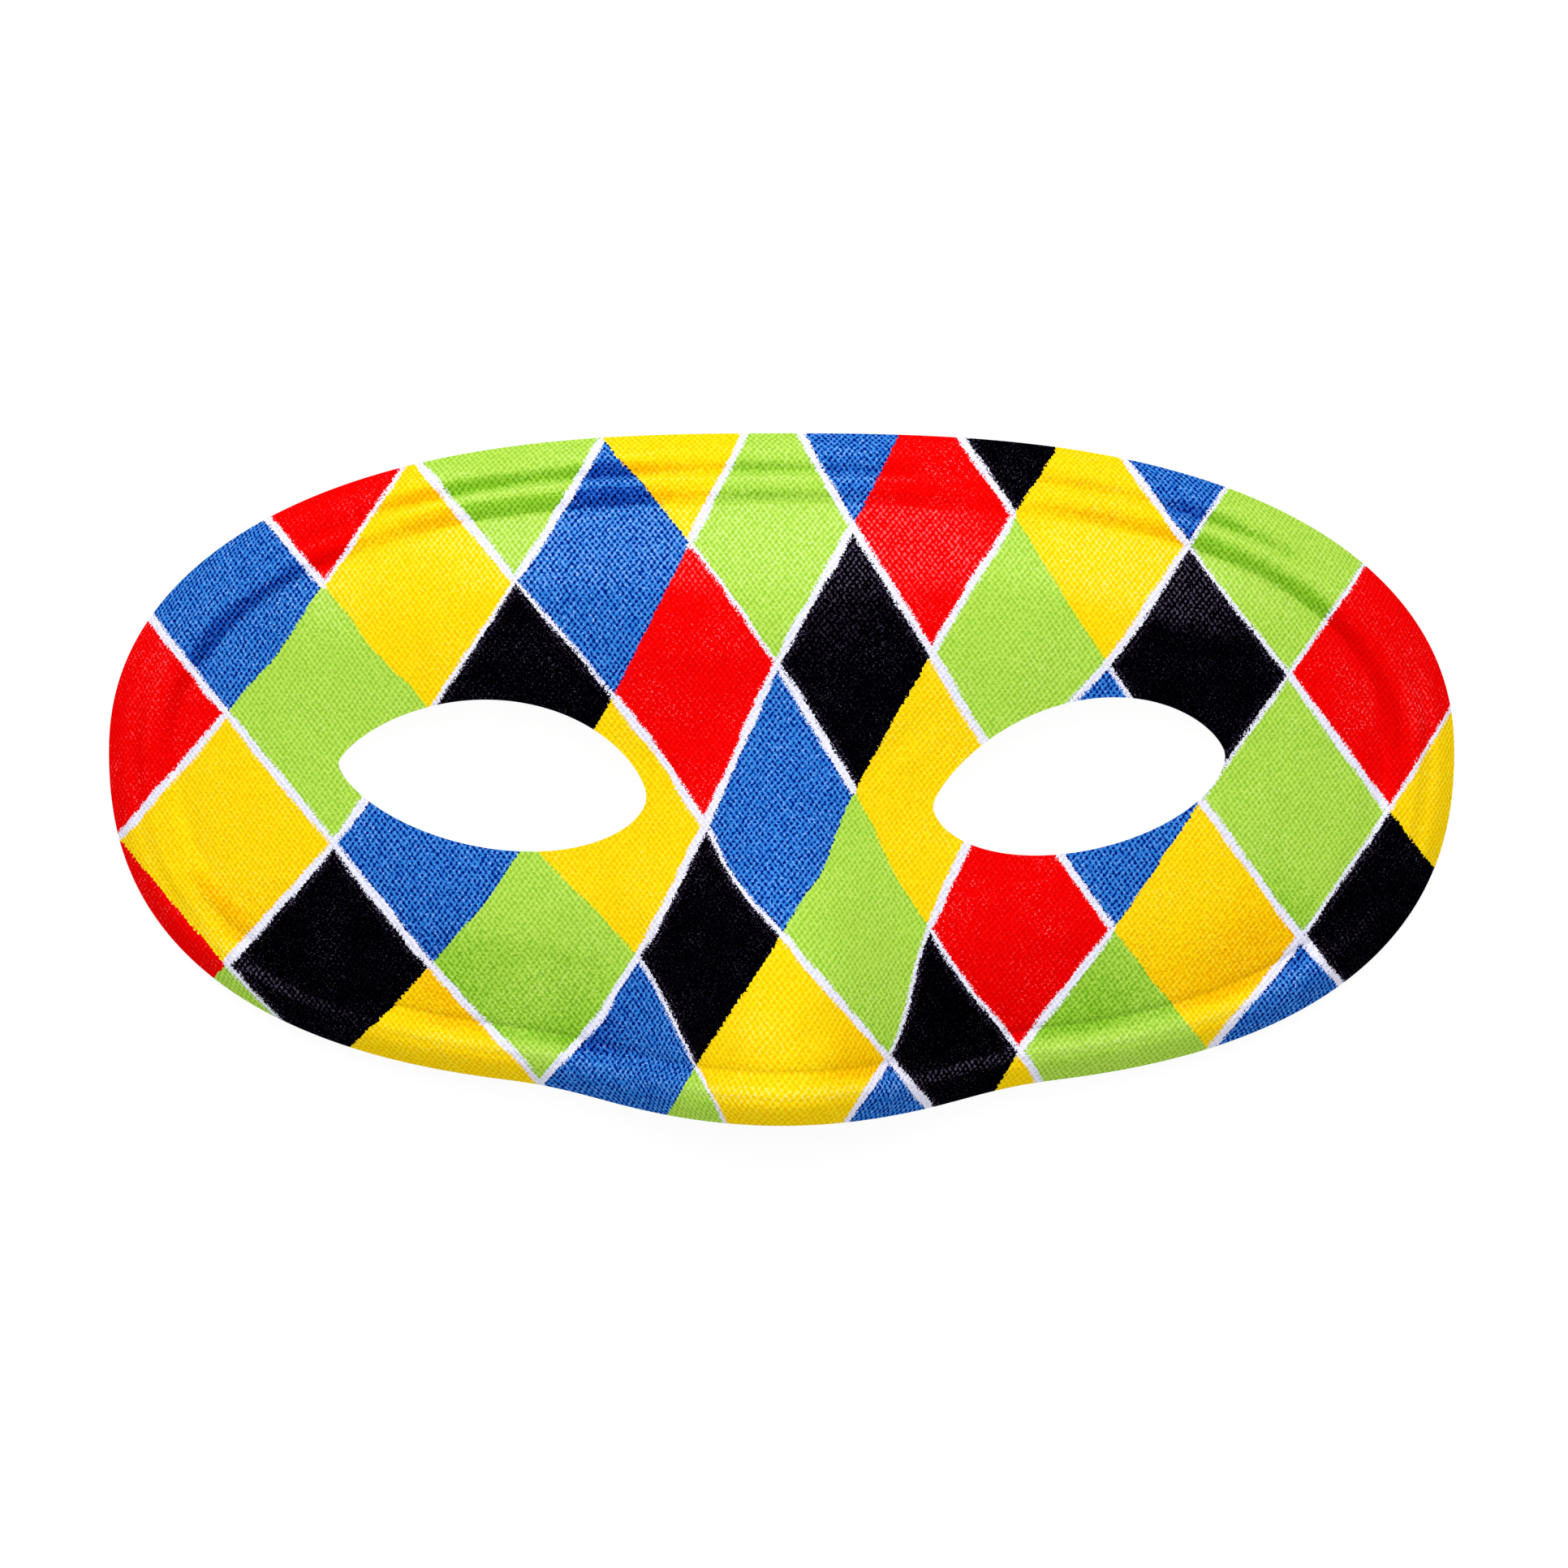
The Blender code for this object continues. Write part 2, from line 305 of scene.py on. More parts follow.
class ClothSettings(bpy.types.PropertyGroup):
    """Sizes and colours of the printed cloth."""

    red: colour("Red", (0.84, 0.001, 0.001), "Red ink of the print")
    yellow: colour("Yellow", (0.93, 0.655, 0.004), "Yellow ink of the print")
    green: colour("Green", (0.41, 0.665, 0.076), "Lime green ink of the print")
    blue: colour("Blue", (0.022, 0.168, 0.58), "Blue ink of the print")
    black: colour("Black", (0.0004, 0.0002, 0.0010), "Violet-black ink of the print")
    # Painted light: the colour of black where the crowns of the stitches catch the light.
    lit_black_crown: colour("Black crown", (0.003, 0.0015, 0.007), "Black ink where the stitches stand up")
    undyed: colour("Undyed", (0.80, 0.80, 0.93), "Undyed cloth between the lozenges")
    backing: colour("Backing", (0.74, 0.73, 0.70), "Plain back of the shell and its cut edges")
    wide_gap: length("Wide line", 0.0010, "Width of a wide undyed line")
    thin_gap: length("Thin line", 0.00055, "Width of a thin undyed line")
    stitch: length("Stitch spacing", 0.00076, "Distance between two stitches of a row")
    course: length("Row spacing", 0.00050, "Distance between two rows of stitches")
    bleed: length("Ink bleed", 0.00022, "How far the inks creep along the threads")
    drift: length("Line drift", 0.0005, "How far the printed lines wander")
    wall: length("Wall", 0.0012, "Thickness of the shell with its cloth")
    emboss: length("Emboss", 0.00050, "Extra height of the pressed ridges along the edge")
    unevenness: length("Unevenness", 0.00016, "How far the cloth swells between its glued places")
    refinement: bpy.props.IntProperty(
        name="Refinement", description="How often the CAD shell's faces are split", default=2, min=1, max=3
    )


class TapeSettings(bpy.types.PropertyGroup):
    """Sizes and colours of the tape loops."""

    tape: colour("Tape", (0.72, 0.71, 0.68), "Colour of the woven tape")
    rib: length("Rib spacing", 0.00055, "Distance between two ribs of the tape")
    rounding: length("Edge rounding", 0.00025, "Radius of the tape's folded edges")


class StageSettings(bpy.types.PropertyGroup):
    """Floor and light."""

    floor: colour("Floor", (0.14, 0.14, 0.14), "Colour of the floor's translucent top")
    floor_size: length("Floor size", 3.0, "Width of the floor")
    glow: bpy.props.FloatProperty(
        name="Floor glow", description="How brightly the floor is lit from below", default=0.88, min=0.0
    )
    key_power: bpy.props.FloatProperty(
        name="Key light", description="Power of the light above the brow", default=7.3, unit="POWER"
    )
    front_power: bpy.props.FloatProperty(
        name="Front light", description="Power of the light over the face", default=9.0, unit="POWER"
    )
    side_power: bpy.props.FloatProperty(
        name="Side lights", description="Power of the light on either side", default=1.7, unit="POWER"
    )
    low_power: bpy.props.FloatProperty(
        name="Low light", description="Power of the light below the nose", default=1.8, unit="POWER"
    )
    sky: bpy.props.FloatProperty(
        name="Sky", description="Strength of the even light from all round", default=0.2, min=0.0
    )


# Shader maths.


class Number:
    """A socket's value in a material. Arithmetic on it adds Math nodes."""

    def __init__(self, finish, socket):
        self.finish = finish
        self.socket = socket

    def maths(self, operation, *values):
        inputs = dict(enumerate((self, *values)))
        return self.finish.node("ShaderNodeMath", {"operation": operation}, inputs)

    def __add__(self, other):
        return self.maths("ADD", other)

    def __radd__(self, other):
        return self.maths("ADD", other)

    def __sub__(self, other):
        return self.maths("SUBTRACT", other)

    def __rsub__(self, other):
        return self.maths("MULTIPLY", -1.0).maths("ADD", other)

    def __mul__(self, other):
        return self.maths("MULTIPLY", other)

    def __rmul__(self, other):
        return self.maths("MULTIPLY", other)

    def __truediv__(self, other):
        return self.maths("DIVIDE", other)

    def above(self, level):
        return self.maths("GREATER_THAN", level)

    def ease(self, low, high):
        """0 at low, 1 at high, and an even curve between; low may be the greater."""
        settings = {"interpolation_type": "SMOOTHSTEP"}
        return self.finish.node("ShaderNodeMapRange", settings, {0: self, 1: low, 2: high})


class Finish:
    """A material that is being put together round its Principled shader."""

    def __init__(self, name, roughness):
        self.material = bpy.data.materials.new(name)
        self.material.use_nodes = True
        self.tree = self.material.node_tree
        self.shader = self.tree.nodes["Principled BSDF"]
        self.set("Roughness", roughness)

    def node(self, kind, settings=None, inputs=None, output=0):
        """Adds a node, sets it up, fills its sockets with values or links, and returns one output."""
        made = self.tree.nodes.new(kind)
        for key, value in (settings or {}).items():
            if key == "stops":
                set_stops(made.color_ramp, value)
            else:
                setattr(made, key, value)
        for key, value in (inputs or {}).items():
            self.fill(made.inputs[key], value)
        return Number(self, made.outputs[output])

    def fill(self, socket, value):
        if isinstance(value, Number):
            self.tree.links.new(value.socket, socket)
        else:
            socket.default_value = value

    def set(self, name, value):
        self.fill(self.shader.inputs[name], value)

    def attribute(self, name):
        """The three numbers of a vector attribute."""
        vector = self.node("ShaderNodeAttribute", {"attribute_name": name}, output=1)
        return self.parts(vector)

    def parts(self, vector):
        split = self.node("ShaderNodeSeparateXYZ", inputs={0: vector}).socket.node
        return [Number(self, socket) for socket in split.outputs]

    def vector(self, x, y, z=0.0):
        return self.node("ShaderNodeCombineXYZ", inputs={0: x, 1: y, 2: z})

    def noise(self, vector, size, detail=2.0, roughness=0.5):
        """Noise from 0 to 1 whose features are about size metres across."""
        inputs = {"Vector": vector, "Scale": 1.0 / size, "Detail": detail, "Roughness": roughness}
        return self.node("ShaderNodeTexNoise", inputs=inputs)

    def mix(self, share, first, second, blend="MIX"):
        """A colour between two colours, or the first one darkened or lightened by the second."""
        settings = {"data_type": "RGBA", "blend_type": blend}
        return self.node("ShaderNodeMix", settings, {0: share, 6: full(first), 7: full(second)}, output=2)

    def bump(self, height, depth, strength=1.0):
        inputs = {"Height": height, "Distance": depth, "Strength": strength}
        self.set("Normal", self.node("ShaderNodeBump", inputs=inputs))


def full(shade):
    """A plain colour with its alpha, or a link as it is."""
    return shade if isinstance(shade, Number) else (*tuple(shade)[:3], 1.0)


def set_stops(ramp, stops):
    ramp.interpolation = "CONSTANT"
    while len(ramp.elements) < len(stops):
        ramp.elements.new(1.0)
    for element, (place, shade) in zip(ramp.elements, stops):
        element.position = place
        element.color = full(shade)


# The printed lattice.


def complete_lattice():
    """Every crossing of the lattice, in metres, the unseen ones carried on from their neighbours."""
    crossings = {}
    for column, row in FALLING_LINES.items():
        for strip, (x, y) in row.items():
            crossings[column, strip] = Vector((x, y)) / 1000
    wanted = [
        (column, strip)
        for column in range(FIRST_COLUMN, LAST_COLUMN + 1)
        for strip in range(FIRST_STRIP, LAST_STRIP + 1)
    ]
    while any(place not in crossings for place in wanted):
        found = {}
        for column, strip in wanted:
            if (column, strip) in crossings:
                continue
            guesses = []
            for step in ((1, 0), (-1, 0), (0, 1), (0, -1)):
                near = (column + step[0], strip + step[1])
                far = (near[0] + step[0], near[1] + step[1])
                if near in crossings and far in crossings:
                    guesses.append(2 * crossings[near] - crossings[far])
            if guesses:
                found[column, strip] = sum(guesses, Vector((0.0, 0.0))) / len(guesses)
        crossings.update(found)
    return crossings


def curve_weights(share):
    """Weights of four places in a row for a smooth curve through them, and how they change along it."""
    t = share
    weights = (
        (-t + 2 * t**2 - t**3) / 2,
        (2 - 5 * t**2 + 3 * t**3) / 2,
        (t + 4 * t**2 - 3 * t**3) / 2,
        (-(t**2) + t**3) / 2,
    )
    slopes = (
        (-1 + 4 * t - 3 * t**2) / 2,
        (-10 * t + 9 * t**2) / 2,
        (1 + 8 * t - 9 * t**2) / 2,
        (-2 * t + 3 * t**2) / 2,
    )
    return weights, slopes


def cloth_point(crossings, falling, rising):
    """The point at a place of the lattice, and how it moves along both kinds of line."""
    column = min(max(math.floor(falling), FIRST_COLUMN + 1), LAST_COLUMN - 2)
    strip = min(max(math.floor(rising), FIRST_STRIP + 1), LAST_STRIP - 2)
    weights_u, slopes_u = curve_weights(falling - column)
    weights_v, slopes_v = curve_weights(rising - strip)
    point, along_u, along_v = Vector((0.0, 0.0)), Vector((0.0, 0.0)), Vector((0.0, 0.0))
    for i in range(4):
        for j in range(4):
            crossing = crossings[column + i - 1, strip + j - 1]
            point += weights_u[i] * weights_v[j] * crossing
            along_u += slopes_u[i] * weights_v[j] * crossing
            along_v += weights_u[i] * slopes_v[j] * crossing
    return point, along_u, along_v


def lattice_place(crossings, point, start):
    """Lattice numbers (falling, rising) of a point, and how fast each grows there, as vectors."""
    falling, rising = start
    for _ in range(MOST_TRIES):
        found, along_u, along_v = cloth_point(crossings, falling, rising)
        miss = point - found
        area = along_u.cross(along_v)
        step = Vector((miss.cross(along_v), along_u.cross(miss))) / area
        falling += max(min(step.x, LONGEST_STEP), -LONGEST_STEP)
        rising += max(min(step.y, LONGEST_STEP), -LONGEST_STEP)
        if step.length < CLOSE_ENOUGH:
            break
    else:
        raise RuntimeError(f"no place in the lattice for {tuple(point)}")
    falling_slope = Vector((along_v.y, -along_v.x, 0.0)) / area
    rising_slope = Vector((-along_u.y, along_u.x, 0.0)) / area
    return falling, rising, falling_slope, rising_slope


def on_surface(slope, normal):
    """How fast a number that grows by slope across the photograph grows along a surface."""
    return (slope - normal * slope.dot(normal)).length


def gap_width(cloth, digit):
    return {"0": 0.0, "1": cloth.thin_gap, "2": cloth.wide_gap}[digit]


def gap_at(cloth, table, line, place):
    """Width of the undyed line nearest to a place."""
    row = table[min(max(round(line), 0), len(table) - 1)]
    return gap_width(cloth, row[min(max(math.floor(place), 0), len(row) - 1)])


def seen_from_camera(point):
    """Where a point shows in the photograph's plane."""
    middle = Vector(VIEW_MIDDLE)
    scale = (VIEW_DISTANCE - VIEW_LEVEL) / (VIEW_DISTANCE - point.z)
    return middle + (Vector(point.xy) - middle) * scale


def without_bows(point):
    """Where a point of the photograph would lie if the printed lines ran smoothly."""
    smooth = point.copy()
    for x, y, *bow in BOWS:
        off = (point * 1000 - Vector((x, y))).length / BOW_REACH
        smooth -= Vector(bow) / 1000 * math.exp(-(off**2))
    return smooth


def chart_print(piece, cloth):
    """Writes where each vertex lies in the printed lattice, and how wide the lines near it are."""
    crossings = complete_lattice()
    mesh = piece.data
    places = mesh.attributes.new("lattice", "FLOAT_VECTOR", "POINT")
    gaps = mesh.attributes.new("gaps", "FLOAT_VECTOR", "POINT")
    start = LATTICE_MIDDLE
    for vertex in mesh.vertices:
        point = without_bows(seen_from_camera(vertex.co))
        falling, rising, falling_slope, rising_slope = lattice_place(crossings, point, start)
        start = (falling, rising)
        places.data[vertex.index].vector = (falling, rising, 0.0)
        falling_rate = on_surface(falling_slope, vertex.normal)
        rising_rate = on_surface(rising_slope, vertex.normal)
        falling_gap = gap_at(cloth, FALLING_GAPS, falling, rising)
        rising_gap = gap_at(cloth, RISING_GAPS, rising, falling - FIRST_INKED)
        half = (falling_gap * falling_rate / 2, rising_gap * rising_rate / 2)
        gaps.data[vertex.index].vector = (*half, (falling_rate + rising_rate) / 2)


def lay_out_cloth(piece):
    """Writes where each vertex lies on the flat cloth, turned and sized to match the shell from the front."""
    mesh = piece.data
    bpy.ops.object.mode_set(mode="EDIT")
    bpy.ops.mesh.select_all(action="SELECT")
    bpy.ops.uv.unwrap(method="CONFORMAL", margin=0.0)
    bpy.ops.object.mode_set(mode="OBJECT")
    flat = [None] * len(mesh.vertices)
    for loop, place in zip(mesh.loops, mesh.uv_layers.active.data):
        flat[loop.vertex_index] = complex(*place.uv)
    seen = [complex(vertex.co.x, vertex.co.y) for vertex in mesh.vertices]
    middle_flat = sum(flat) / len(flat)
    middle_seen = sum(seen) / len(seen)
    pairs = [(a - middle_flat, b - middle_seen) for a, b in zip(flat, seen)]
    turn = sum(b * a.conjugate() for a, b in pairs)
    turn /= abs(turn)
    sizes = [edge_ratio(mesh, flat, edge) for edge in mesh.edges]
    scale = sum(sizes) / len(sizes)
    cloth = mesh.attributes.new("cloth", "FLOAT_VECTOR", "POINT")
    for index, (a, _) in enumerate(pairs):
        place = a * turn * scale + middle_seen
        cloth.data[index].vector = (place.real, place.imag, 0.0)


def edge_ratio(mesh, flat, edge):
    """Length of an edge on the shell for each unit of its length on the flat layout."""
    start, end = edge.vertices
    real = (mesh.vertices[start].co - mesh.vertices[end].co).length
    return real / abs(flat[start] - flat[end])


# Meshes.


def merged_copy(node, name):
    """A copy of a CAD node as a piece of its own, its loose triangles merged into quads."""
    bpy.ops.object.select_all(action="DESELECT")
    piece = bpy.data.objects.new(name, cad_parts[node].data.copy())
    piece.data.name = name
    piece.data.materials.clear()
    bpy.context.collection.objects.link(piece)
    piece.select_set(True)
    bpy.context.view_layer.objects.active = piece
    bpy.ops.object.mode_set(mode="EDIT")
    bpy.ops.mesh.select_all(action="SELECT")
    bpy.ops.mesh.remove_doubles(threshold=1e-6)
    bpy.ops.mesh.tris_convert_to_quads(face_threshold=math.radians(60), shape_threshold=math.radians(70))
    bpy.ops.object.mode_set(mode="OBJECT")
    return piece


def keep_front(piece):
    """Deletes all but the smooth sheet of faces that looks out of the mask."""
    bpy.ops.object.mode_set(mode="EDIT")
    bpy.ops.mesh.select_mode(type="FACE")
    bpy.ops.mesh.select_all(action="DESELECT")
    bm = bmesh.from_edit_mesh(piece.data)
    seed = max(bm.faces, key=lambda face: face.calc_center_median().z + face.normal.z)
    seed.select = True
    bm.faces.active = seed
    bmesh.update_edit_mesh(piece.data)
    bpy.ops.mesh.faces_select_linked_flat(sharpness=FRONT_TURN)
    bpy.ops.mesh.select_all(action="INVERT")
    bpy.ops.mesh.delete(type="FACE")
    bpy.ops.object.mode_set(mode="OBJECT")


def refine(piece, levels):
    smooth = piece.modifiers.new("refine", "SUBSURF")
    smooth.levels = levels
    smooth.render_levels = levels
    bpy.ops.object.modifier_apply(modifier=smooth.name)


def is_eye_edge(vertex):
    inside = abs(vertex.co.x) < EYE_REGION[0] and abs(vertex.co.y) < EYE_REGION[1]
    return vertex.is_boundary and inside


def in_plan(vertex):
    return Vector((vertex.co.x, vertex.co.y, 0.0))


def nearest_of(vertices):
    """Finds the nearest of some vertices, as seen from the front."""
    tree = KDTree(len(vertices))
    for index, vertex in enumerate(vertices):
        tree.insert(in_plan(vertex), index)
    tree.balance()
    return tree


def ease(value, low, high):
    share = min(max((value - low) / (high - low), 0.0), 1.0)
    return 3 * share**2 - 2 * share**3


def rim_share(table, edge_distance, outward):
    """A table's value by the distance from the outer edge and the way that edge faces."""
    brow_share = ease(outward.y, 0.75, 0.97)
    cheek_share = ease(-outward.y, 0.55, 0.85)
    for (near, *low), (far, *high) in zip(table, table[1:]):
        if near <= edge_distance < far:
            eased = ease(edge_distance, near, far)
            brow, side, cheek = (a + (b - a) * eased for a, b in zip(low, high))
            return side + (brow - side) * brow_share + (cheek - side) * cheek_share
    return 0.0


def emboss(piece, cloth):
    """Presses the edge's ridges, lets the cloth swell and wrinkle, and writes the painted shade and light
    along the ridges and the painted highlights.
    """
    bm = bmesh.new()
    bm.from_mesh(piece.data)
    bm.normal_update()
    outer = nearest_of([vertex for vertex in bm.verts if vertex.is_boundary and not is_eye_edge(vertex)])
    eyes = nearest_of([vertex for vertex in bm.verts if is_eye_edge(vertex)])
    moves, painted_shading = {}, []
    for vertex in bm.verts:
        edge, _, from_edge = outer.find(in_plan(vertex))
        from_eye = eyes.find(in_plan(vertex))[2]
        outward = Vector((edge - vertex.co).xy).normalized()
        patchy = noise.noise(vertex.co / PATCH_SIZE)
        strength = 1.0 + 0.7 * patchy * (1.0 - ease(-outward.y, 0.3, 0.8))
        ridge = cloth.emboss * rim_share(RIDGES, from_edge, outward) * strength
        # Painted shade and light along the ridges: full where the edge faces up or down, a quarter at the
        # sides, plus the painted highlights.
        shown = max(ease(outward.y, -0.15, 0.30), ease(-outward.y, 0.40, 0.70))
        rim_shading = rim_share(RIM_PAINTED_SHADING, from_edge, outward) * (0.9 + 1.0 * patchy)
        painted_shading.append(rim_shading * (0.25 + 0.75 * shown) + painted_highlight(vertex.co))
        free = min(from_edge, from_eye, HELD_MARGIN) / HELD_MARGIN
        swell = cloth.unevenness * free * noise.fractal(vertex.co / SWELL_SIZE, 0.7, 2.0, 3)
        moves[vertex] = ridge + swell + wrinkle_height(vertex.co)
    for vertex, move in moves.items():
        vertex.co += vertex.normal * move
    bm.to_mesh(piece.data)
    bm.free()
    piece.data.attributes.new("tone", "FLOAT", "POINT").data.foreach_set("value", painted_shading)


def painted_highlight(place):
    """How much paler the print is painted at the painted highlights."""
    total = 0.0
    for x, y, reach, share in PAINTED_HIGHLIGHTS:
        off = Vector((place.x - x, place.y - y)).length / reach
        total += share * math.exp(-(off**2))
    return total


def wrinkle_height(place):
    """Fine wrinkles where the cloth turns between the eyes and the nose."""
    height = 0.0
    for x, y, half_length, slope, depth in WRINKLES:
        along = Vector((math.cos(slope), math.sin(slope)))
        away = Vector((place.x - x, place.y - y))
        run = away.dot(along) / half_length
        off = away.cross(along) / WRINKLE_WIDTH
        height += depth * math.exp(-(run**2) - off**2)
    return height


def thicken(piece, wall):
    """Gives the sheet its wall. Round the eyes the wall drops straight back, so the cut shows no lip."""
    bm = bmesh.new()
    bm.from_mesh(piece.data)
    bm.normal_update()
    tree = nearest_of([vertex for vertex in bm.verts if is_eye_edge(vertex)])
    front = bm.faces[:]
    rims = [edge for edge in bm.edges if edge.is_boundary]
    directions = {}
    for vertex in bm.verts:
        away = min(tree.find(in_plan(vertex))[2] / EYE_EDGE_REACH, 1.0)
        upright = Vector((0.0, 0.0, 1.0))
        directions[vertex] = upright.lerp(vertex.normal, away).normalized()
    copied = bmesh.ops.duplicate(bm, geom=front)
    twins = copied["vert_map"]
    for vertex, direction in directions.items():
        twins[vertex].co = vertex.co - direction * wall
    back = [item for item in copied["geom"] if isinstance(item, bmesh.types.BMFace)]
    bmesh.ops.reverse_faces(bm, faces=back)
    walls = []
    for edge in rims:
        start, end = edge.verts
        walls.append(bm.faces.new((start, end, twins[end], twins[start])))
    for face in (*back, *walls):
        face.material_index = 1
    bmesh.ops.recalc_face_normals(bm, faces=bm.faces)
    bm.to_mesh(piece.data)
    bm.free()


def settle_on_floor(piece):
    """Lifts what reaches below the floor onto it, as the CAD shell's flat rests do."""
    for vertex in piece.data.vertices:
        vertex.co.z = max(vertex.co.z, 0.0)


# Finishes.


class PrintedKnit(Finish):
    """Knitted cloth, printed with lozenges whose borders creep along the threads."""

    def __init__(self, cloth):
        super().__init__("printed_cloth", 0.55)
        self.cloth = cloth
        place = self.node("ShaderNodeTexCoord", output=3)
        x, y, z = self.parts(place)
        self.places = (place, self.vector(y, z, x))
        self.threads = self.wavering(THREAD_SIZE)
        self.speck = self.noise(place, SPECK_SIZE, detail=0.0) - 0.5
        self.uneven = self.noise(place, UNEVEN_SIZE, detail=3.0).ease(0.3, 0.7)
        self.knit = self.knit_rows()
        self.stitches = self.knit * 0.85 + self.threads[0] * 2.2 + self.speck * 0.6
        self.holes = self.stitches.ease(0.05, -0.60)
        self.crowns = self.stitches.ease(0.05, 0.80)
        self.find_borders()

    def wavering(self, size, detail=1.0):
        """Two unlike noises, both round 0, whose features are about size metres across."""
        return [self.noise(place, size, detail) - 0.5 for place in self.places]

    def knit_rows(self):
        """The rows of stitches, which waver over the flat cloth."""
        u, v, _ = self.attribute("cloth")
        aside, along = self.wavering(WAVER_SIZE, detail=2.0)
        across = (u + aside * SIDE_WAVER) * (2 * math.pi / self.cloth.stitch)
        down = (v + along * ROW_WAVER + u * ROW_SLANT) * (math.pi / self.cloth.course)
        return across.maths("COSINE") * down.maths("COSINE")

    def find_borders(self):
        """Where the cloth lies in the lattice, whose lines wander, and half the undyed lines' widths."""
        lattice = self.attribute("lattice")[:2]
        *self.halves, per_metre = self.attribute("gaps")
        wander = [drift * per_metre * self.cloth.drift for drift in self.wavering(DRIFT_SIZE)]
        self.lattice = [place + off for place, off in zip(lattice, wander)]
        self.creep = per_metre * self.cloth.bleed

    def inks(self):
        """The ink of each lozenge, with borders that creep along the threads."""
        falling, rising = (
            place + (thread * 2.4 + self.speck * 1.4 + self.knit * 0.5) * self.creep
            for place, thread in zip(self.lattice, self.threads)
        )
        cloth = self.cloth
        inks = {"R": cloth.red, "Y": cloth.yellow, "G": cloth.green, "B": cloth.blue, "K": cloth.black}
        columns = len(LOZENGES[0])
        column = (falling.maths("FLOOR") + (0.5 - FIRST_INKED)) / columns
        shade = None
        for strip, letters in enumerate(LOZENGES):
            stops = [(index / columns, inks[letter]) for index, letter in enumerate(letters)]
            row = self.node("ShaderNodeValToRGB", {"stops": stops}, {0: column})
            shade = row if shade is None else self.mix(rising.above(strip), shade, row)
        self.darkness = self.node("ShaderNodeRGBToBW", inputs={0: shade}).ease(0.03, 0.0)
        return shade

    def stitched(self, shade):
        """The inks with painted shade in the holes of the knit, painted light on its crowns and painted
        glints.
        """
        red, _, blue = self.parts(shade)
        blueness = (blue - red).above(0.2)
        holes, crowns, uneven = self.holes, self.crowns, self.uneven
        # Painted shade in the holes of the knit, deeper on blue.
        shade = self.mix(holes * (0.60 + blueness * 0.40), shade, shade, "MULTIPLY")
        shade = self.mix(holes * blueness * 0.8, shade, shade, "MULTIPLY")
        # Painted light on the crowns of the stitches.
        shade = self.mix(crowns * (0.20 + uneven * 0.20 + blueness * 0.25), shade, shade, "SCREEN")
        # Painted light on the crowns of black, varying at random.
        shade = self.mix(crowns * self.darkness * uneven, shade, self.cloth.lit_black_crown)
        # Painted glints on the crowns, scattered at random, more on blue.
        painted_glints = self.speck.ease(0.10, 0.26) * crowns
        scattered = (0.02 + uneven * uneven * 0.18) * (1.0 - self.darkness * 0.75)
        return self.mix(painted_glints * (scattered + blueness * 0.30), shade, self.cloth.undyed)

    def with_painted_light_and_shade(self, shade):
        """The inks with painted shade and painted light along the ridges, painted sheen on black and painted
        highlights.
        """
        # The tone holds the painted shade and light of the ridges and the painted highlights, with noise.
        tone = self.attribute("tone")[0] + self.threads[0] * 0.6
        on_black = self.darkness * self.crowns
        on_colours = (1.0 - self.darkness) * self.crowns
        # Painted shade where the tone is below 0, painted light where it is above.
        shade = self.mix(tone.ease(-0.1, -1.0) * 0.75, shade, shade, "MULTIPLY")
        shade = self.mix(tone.ease(0.1, 1.0) * 0.20, shade, shade, "SCREEN")
        # Painted sheen on the crowns of black where the painted light is strong.
        shade = self.mix(tone.ease(0.3, 1.2) * on_black * 0.75, shade, BLACK_PAINTED_SHEEN)
        # Painted highlights that whiten the crowns of the colours.
        return self.mix(tone.ease(0.2, 1.2) * on_colours * 0.13, shade, self.cloth.undyed)

    def bordered(self, shade):
        """The undyed lines over the inks, with painted shade in their holes, and painted violet sheen and
        painted glints on black.
        """
        swell = 0.80 + self.uneven * 0.40
        lines, halos = [], []
        for place, half, thread in zip(self.lattice, self.halves, self.threads):
            fray = thread * 0.9 + self.speck * 3.6 + self.knit * 0.4
            near = (place - place.maths("ROUND")).maths("ABSOLUTE")
            drawn = half.above(NO_LINE)
            lines.append(((half * swell - near) / self.creep + fray).ease(-0.45, 0.45) * drawn)
            halos.append(((half - near) / self.creep + fray).ease(-4.5, 0.0) * drawn)
        undyed = lines[0].maths("MAXIMUM", lines[1])
        halo = halos[0].maths("MAXIMUM", halos[1])
        # Painted violet sheen on the crowns of black beside the undyed lines.
        shade = self.mix(halo * self.darkness * self.crowns * 0.6, shade, BLACK_SHEEN_BESIDE_LINES)
        # Painted glints on black, denser beside the undyed lines and varying at random.
        sparse = self.speck.ease(0.18, 0.32) * self.darkness
        shade = self.mix(sparse * (0.03 + halo * 0.60 + self.uneven * 0.07), shade, BLACK_PAINTED_GLINTS)
        # Painted shade in the holes of the undyed cloth.
        pale = self.mix(self.holes * 0.6, self.cloth.undyed, UNDYED_HOLES_SHADE)
        return self.mix(undyed, shade, pale)


def printed_cloth(cloth):
    """The material of the printed front."""
    finish = PrintedKnit(cloth)
    shade = finish.stitched(finish.inks())
    finish.set("Base Color", finish.bordered(finish.with_painted_light_and_shade(shade)))
    finish.set("Specular IOR Level", 0.0)
    finish.set("Roughness", 0.42 + finish.uneven * 0.12)
    finish.bump(finish.stitches * 0.5 + 0.5, STITCH_DEPTH, 1.0)
    return finish.material


